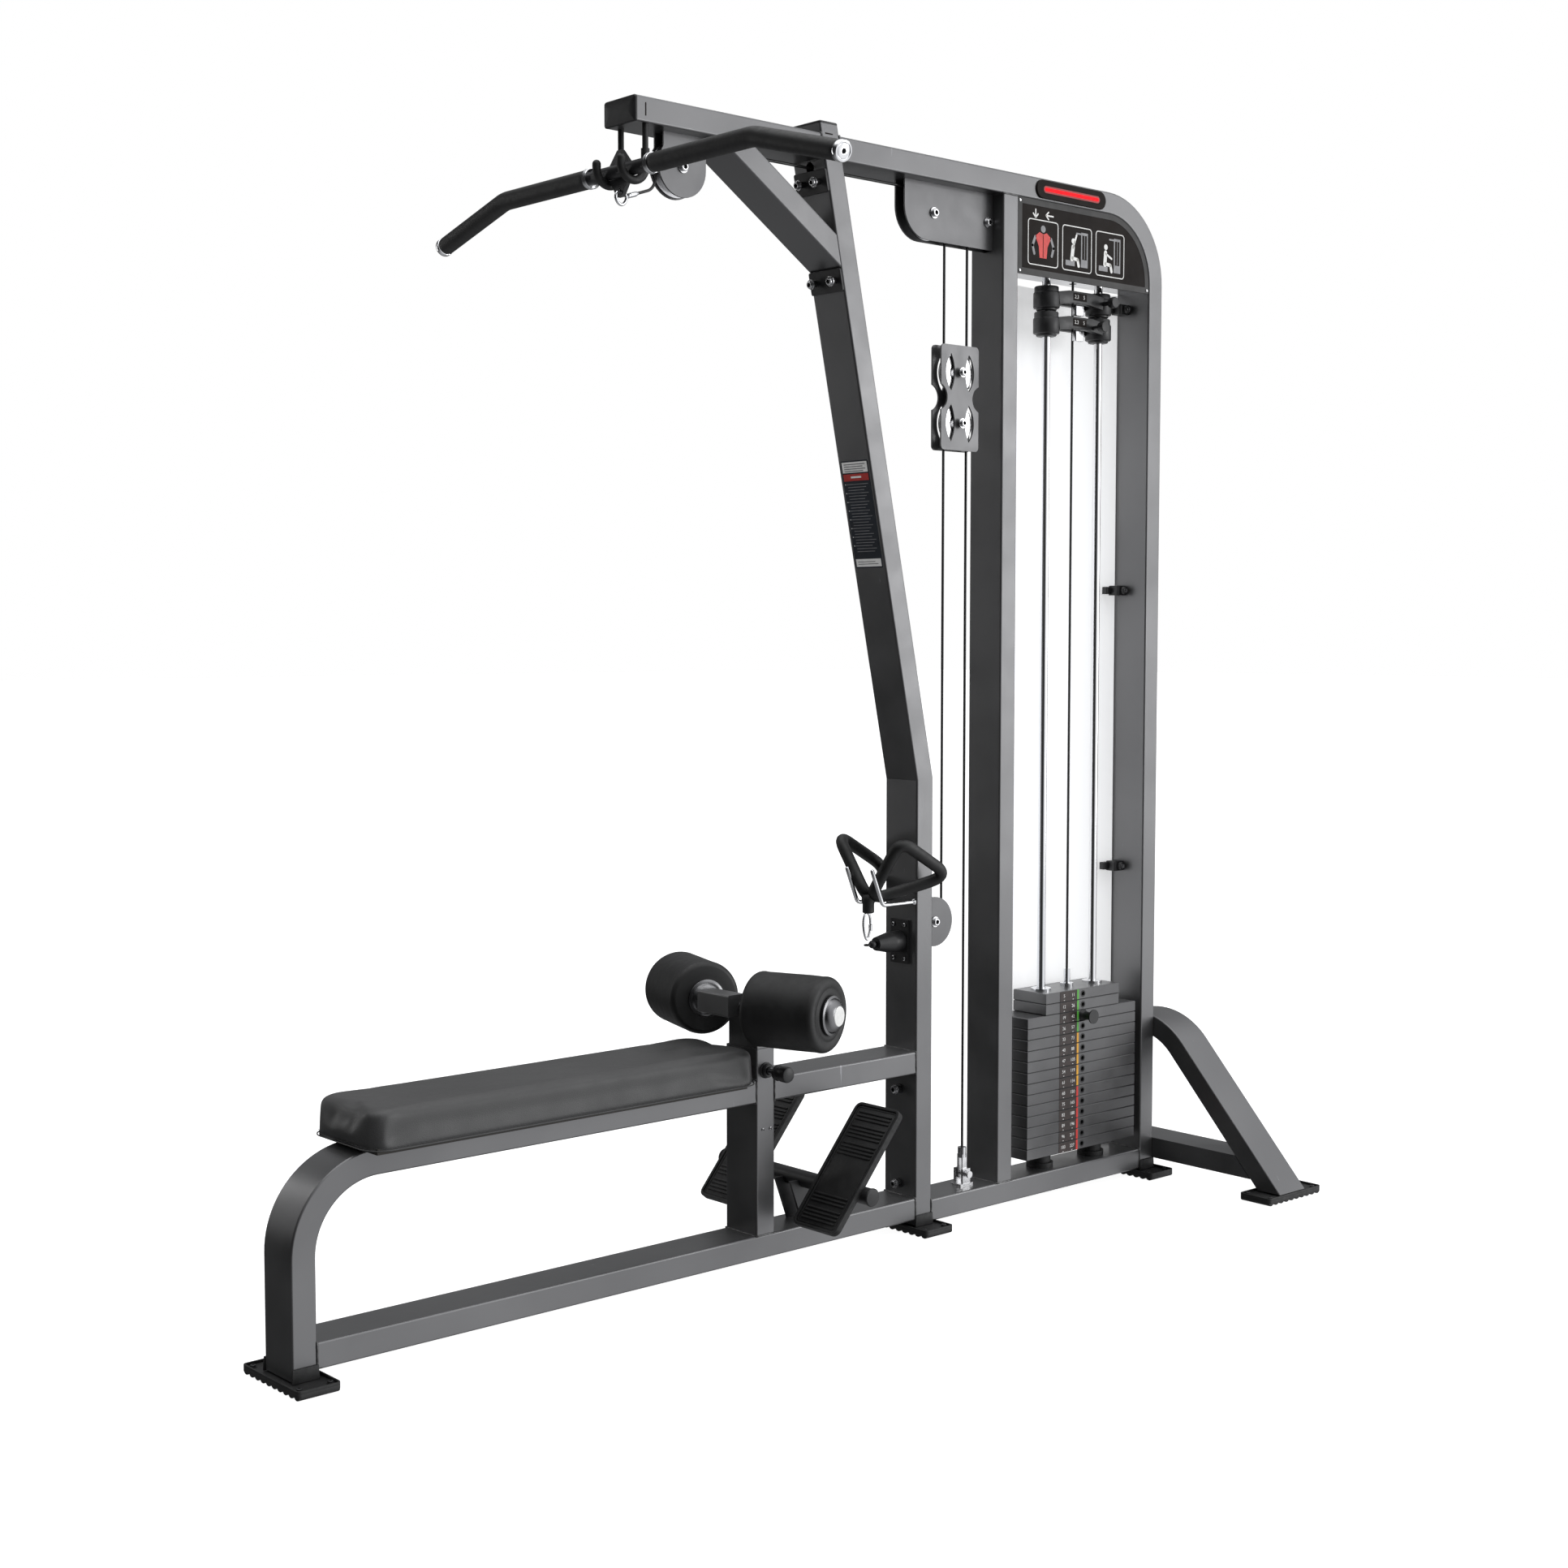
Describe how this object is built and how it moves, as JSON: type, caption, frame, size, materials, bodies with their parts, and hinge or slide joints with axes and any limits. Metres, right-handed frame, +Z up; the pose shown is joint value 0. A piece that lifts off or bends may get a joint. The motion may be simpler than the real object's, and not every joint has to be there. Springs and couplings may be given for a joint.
{
  "type": "lat pulldown and low row machine",
  "caption": "Lat pulldown and low row machine with overhead bar, long seat, foam thigh rollers, foot rests and a shrouded weight stack.",
  "frame": {"origin": "on the floor in the middle of the footprint", "axes": "+X from the seat end towards the weight tower, +Y to the far side with the shroud panel, +Z up"},
  "size_m": [2.5594, 1.2856, 2.41],
  "materials": {
    "frame_paint": "satin metallic",
    "black_coating": "satin",
    "plate_paint": "satin",
    "hardware": "polished",
    "pulley_metal": "turned",
    "black_plastic": "matte",
    "foot_rubber": "matte",
    "grip_rubber": "fine texture",
    "roller_foam": "matte foam skin",
    "pad_vinyl": "pebbled",
    "pad_board": "plain",
    "shroud_sheet": "translucent white",
    "sign_face": "printed",
    "cable_coat": "coated cable"
  },
  "bodies": {
    "frame": {"front_frame": "frame_paint", "seat_rail_rear": "frame_paint", "seat_post": "frame_paint", "base_rail_front": "frame_paint", "base_rail_rear": "frame_paint", "mid_post": "frame_paint", "front_upright": "frame_paint", "tower_frame": "frame_paint", "front_arm": "frame_paint", "arm_brace": "frame_paint", "rear_arch": "frame_paint", "rear_cross_tube": "frame_paint", "ground_feet": "foot_rubber", "tube_end_caps": "black_plastic", "frame_fasteners": "hardware", "seat_board": "pad_board", "seat_pad": "pad_vinyl", "foot_plate_left": "black_coating", "foot_plate_right": "black_coating", "foot_cross_tube": "black_coating", "bar_hooks": "black_coating", "pulley_guards": "frame_paint", "row_cable_nose": "black_plastic", "row_cradle": "hardware", "guide_rods": "hardware", "rod_bumpers": "foot_rubber", "lower_stack": "plate_paint", "shroud_panel": "shroud_sheet", "sign_plates": "sign_face", "cable_anchor": "hardware", "fixed_cables": "cable_coat"},
    "front_pulley_wheel": {"front_pulley": "pulley_metal"},
    "top_pulley_front_wheel": {"top_pulley_front": "pulley_metal"},
    "top_pulley_rear_wheel": {"top_pulley_rear": "pulley_metal"},
    "stack_pulley_wheel": {"stack_pulley": "pulley_metal"},
    "low_pulley_wheel": {"low_pulley": "pulley_metal"},
    "stack": {"stack_head": "plate_paint", "lifted_plate": "plate_paint", "selector_rod": "hardware", "stack_cable": "cable_coat"},
    "pin": {"selector_pin": "black_plastic"},
    "lat_line": {"bar_cable": "cable_coat"},
    "lat_bar_set": {"lat_bar": "black_coating", "lat_bar_grips": "grip_rubber", "lat_bar_fittings": "hardware"},
    "row_line": {"row_pull_cable": "cable_coat"},
    "row_handle_set": {"row_handle": "black_coating", "row_carabiner": "hardware"},
    "block": {"block_plates": "frame_paint", "block_cables": "cable_coat"},
    "block_wheel_upper": {"block_pulley_upper": "pulley_metal"},
    "block_wheel_lower": {"block_pulley_lower": "pulley_metal"},
    "thigh_carriage": {"thigh_post": "frame_paint"},
    "roller_left": {"roller_pad_left": "roller_foam"},
    "roller_right": {"roller_pad_right": "roller_foam"},
    "lock_pin": {"pop_pin": "black_plastic"},
    "drop_weight_upper": {"addon_upper": "frame_paint"},
    "drop_weight_lower": {"addon_lower": "frame_paint"},
    "drop_knob_upper": {"addon_knob_upper": "black_plastic"},
    "drop_knob_lower": {"addon_knob_lower": "black_plastic"}
  },
  "joints": [
    {"name": "stack_lift", "type": "slide", "parent": "frame", "child": "stack", "axis": [0, 0, 1], "range_m": [0, 1.15], "deforming": ["stack_cable"]},
    {"name": "lat_pull", "type": "slide", "parent": "frame", "child": "lat_line", "axis": [0.0698, 0, -0.9976], "range_m": [0, 1.151], "deforming": ["bar_cable"]},
    {"name": "bar_unhook", "type": "slide", "parent": "lat_line", "child": "lat_bar_set", "axis": [-0.342, 0, 0.9397], "range_m": [0, 0.12]},
    {"name": "pin_pull", "type": "slide", "parent": "stack", "child": "pin", "axis": [0, -1, 0], "range_m": [0, 0.09]},
    {"name": "front_pulley_spin", "type": "hinge", "parent": "frame", "child": "front_pulley_wheel", "pos_m": [-0.33875, 0, 2.268], "axis": [0, -1, 0], "range_deg": [0, 1330]},
    {"name": "top_front_spin", "type": "hinge", "parent": "frame", "child": "top_pulley_front_wheel", "pos_m": [0.37225, 0, 2.268], "axis": [0, -1, 0], "range_deg": [0, 1330]},
    {"name": "top_rear_spin", "type": "hinge", "parent": "frame", "child": "top_pulley_rear_wheel", "pos_m": [0.54525, 0, 2.268], "axis": [0, -1, 0], "range_deg": [0, 1330]},
    {"name": "stack_pulley_spin", "type": "hinge", "parent": "frame", "child": "stack_pulley_wheel", "pos_m": [0.80625, 0, 2.268], "axis": [0, -1, 0], "range_deg": [0, 1330]},
    {"name": "block_upper_spin", "type": "hinge", "parent": "block", "child": "block_wheel_upper", "pos_m": [0.45875, 0, 1.926], "axis": [0, -1, 0], "range_deg": [-1815, 0]},
    {"name": "block_travel", "type": "slide", "parent": "frame", "child": "block", "axis": [0, 0, -1], "range_m": [0, 0.4], "deforming": ["block_cables"]},
    {"name": "row_pull", "type": "slide", "parent": "frame", "child": "row_line", "axis": [-1, 0, 0], "range_m": [0, 0.801]},
    {"name": "handle_lift", "type": "slide", "parent": "frame", "child": "row_handle_set", "axis": [0, 0, 1], "range_m": [0, 0.12]},
    {"name": "low_pulley_spin", "type": "hinge", "parent": "frame", "child": "low_pulley_wheel", "pos_m": [0.38575, 0, 0.6925], "axis": [0, -1, 0], "range_deg": [-1260, 0]},
    {"name": "block_lower_spin", "type": "hinge", "parent": "block", "child": "block_wheel_lower", "pos_m": [0.45875, 0, 1.813], "axis": [0, -1, 0], "range_deg": [0, 630]},
    {"name": "thigh_height", "type": "slide", "parent": "frame", "child": "thigh_carriage", "axis": [0, 0, 1], "range_m": [0, 0.15]},
    {"name": "lock_pin_pull", "type": "slide", "parent": "frame", "child": "lock_pin", "axis": [0, -1, 0], "range_m": [0, 0.012], "stiffness_N_per_m": 800, "springref_m": -0.008},
    {"name": "roller_spin_left", "type": "hinge", "parent": "thigh_carriage", "child": "roller_left", "pos_m": [-0.22975, 0, 0.571], "axis": [0.309, 0.9511, 0], "continuous": true},
    {"name": "roller_spin_right", "type": "hinge", "parent": "thigh_carriage", "child": "roller_right", "pos_m": [-0.22975, 0, 0.571], "axis": [0.309, -0.9511, 0], "continuous": true},
    {"name": "drop_upper_slide", "type": "slide", "parent": "frame", "child": "drop_weight_upper", "axis": [0, 0, -1], "range_m": [0, 0.15]},
    {"name": "drop_lower_slide", "type": "slide", "parent": "drop_weight_upper", "child": "drop_weight_lower", "axis": [0, 0, -1], "range_m": [0, 0.15]},
    {"name": "knob_upper_pull", "type": "slide", "parent": "drop_weight_upper", "child": "drop_knob_upper", "axis": [0, -1, 0], "range_m": [0, 0.008], "stiffness_N_per_m": 500, "springref_m": -0.006},
    {"name": "knob_lower_pull", "type": "slide", "parent": "drop_weight_lower", "child": "drop_knob_lower", "axis": [0, -1, 0], "range_m": [0, 0.008], "stiffness_N_per_m": 500, "springref_m": -0.006}
  ],
  "couplings": [
    {"joint": "lat_pull", "follows": "stack_lift", "ratio": 1},
    {"joint": "front_pulley_spin", "follows": "stack_lift", "rad_per_m": 20},
    {"joint": "top_front_spin", "follows": "stack_lift", "rad_per_m": 20},
    {"joint": "top_rear_spin", "follows": "stack_lift", "rad_per_m": 20},
    {"joint": "stack_pulley_spin", "follows": "stack_lift", "rad_per_m": 20},
    {"joint": "block_upper_spin", "follows": "stack_lift", "rad_per_m": -27.397},
    {"joint": "row_pull", "follows": "block_travel", "ratio": 2},
    {"joint": "low_pulley_spin", "follows": "block_travel", "rad_per_m": -54.795},
    {"joint": "block_lower_spin", "follows": "block_travel", "rad_per_m": 27.397}
  ]
}
